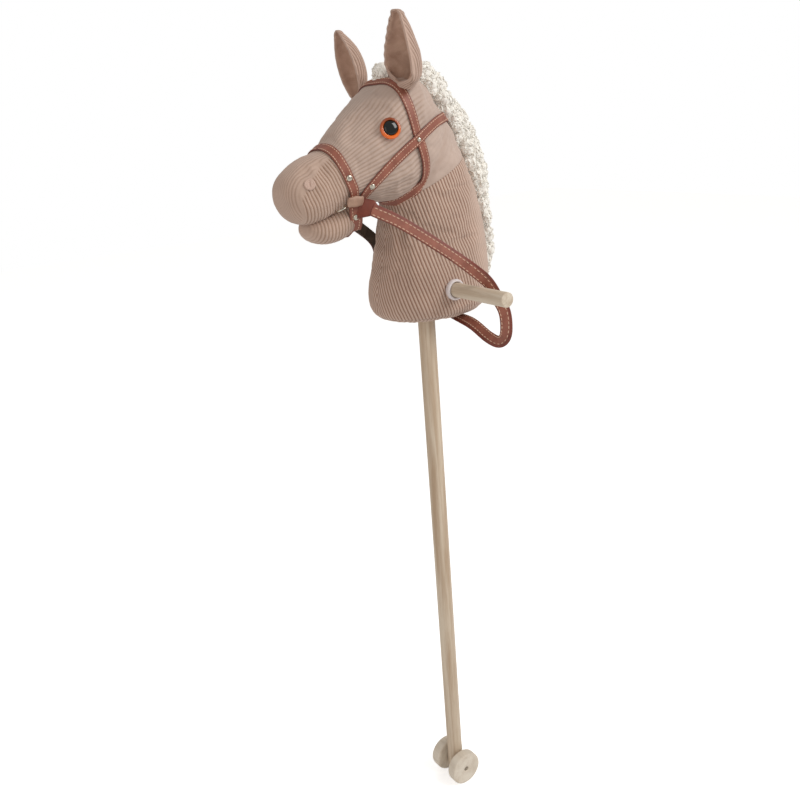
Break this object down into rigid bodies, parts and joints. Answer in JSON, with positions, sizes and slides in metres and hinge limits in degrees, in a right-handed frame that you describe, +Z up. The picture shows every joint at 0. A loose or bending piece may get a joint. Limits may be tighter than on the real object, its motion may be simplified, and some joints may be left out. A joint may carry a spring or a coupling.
{
  "type": "hobby horse",
  "caption": "Stick hobby horse: a stuffed corduroy horse's head with a bouclé mane, bridle and rein on a wooden pole with a cross handle and small wheels on an axle.",
  "frame": {"origin": "where the handle bar's axis crosses the pole's axis", "axes": "+Z up along the pole, -X the way the horse faces, +Y to the horse's right along the handle bar"},
  "size_m": [0.276, 0.245, 0.9837],
  "materials": {
    "pine": "sanded, bare",
    "wheel_wood": "sanded, bare",
    "axle_wood": "sanded, bare",
    "corduroy": "ribbed, matte",
    "brown_plush": "short pile, matte",
    "boucle": "curly pile, matte",
    "padding": "loose fibre",
    "nostril_felt": "ribbed, matte",
    "strap_leather": "satin",
    "dark_leather": "satin",
    "pale_leather": "satin",
    "steel": "bright",
    "amber_plastic": "gloss",
    "black_plastic": "gloss",
    "washer_plastic": "matte",
    "collar_plastic": "satin, slightly see-through"
  },
  "bodies": {
    "horse": {"pole": "pine", "handle_bar": "pine", "handle_collar_left": "collar_plastic", "handle_collar_right": "collar_plastic", "neck_cover": "corduroy", "head_cover": "corduroy", "muzzle_cover": "corduroy", "jaw_cover": "corduroy", "base_panel": "corduroy", "stuffing": "padding", "jaw_stuffing": "padding", "ear_left": "corduroy", "ear_right": "corduroy", "ear_lining_left": "brown_plush", "ear_lining_right": "brown_plush", "mane": "boucle", "eye_left": "amber_plastic", "eye_right": "amber_plastic", "pupil_left": "black_plastic", "pupil_right": "black_plastic", "eye_washer_left": "washer_plastic", "eye_washer_right": "washer_plastic", "nostril_left": "nostril_felt", "nostril_right": "nostril_felt", "noseband": "strap_leather", "browband": "strap_leather", "throat_lash": "strap_leather", "cheek_strap": "strap_leather", "nose_rivet_left": "steel", "nose_rivet_right": "steel", "cheek_rivet_left": "steel", "cheek_rivet_right": "steel", "chin_rivet_left": "steel", "chin_rivet_right": "steel", "cross_rivet_left": "steel", "cross_rivet_right": "steel", "bit_ring_left": "steel", "bit_ring_right": "steel", "bit_tab_left": "pale_leather", "bit_tab_right": "pale_leather", "rein": "strap_leather", "rein_tongue_left": "dark_leather", "rein_tongue_right": "dark_leather"},
    "wheelset": {"axle": "axle_wood", "wheel_left": "wheel_wood", "wheel_right": "wheel_wood"}
  },
  "joints": [
    {"name": "wheel_spin", "type": "hinge", "parent": "horse", "child": "wheelset", "pos_m": [0, 0, -0.6788], "axis": [0, 1, 0], "continuous": true}
  ]
}
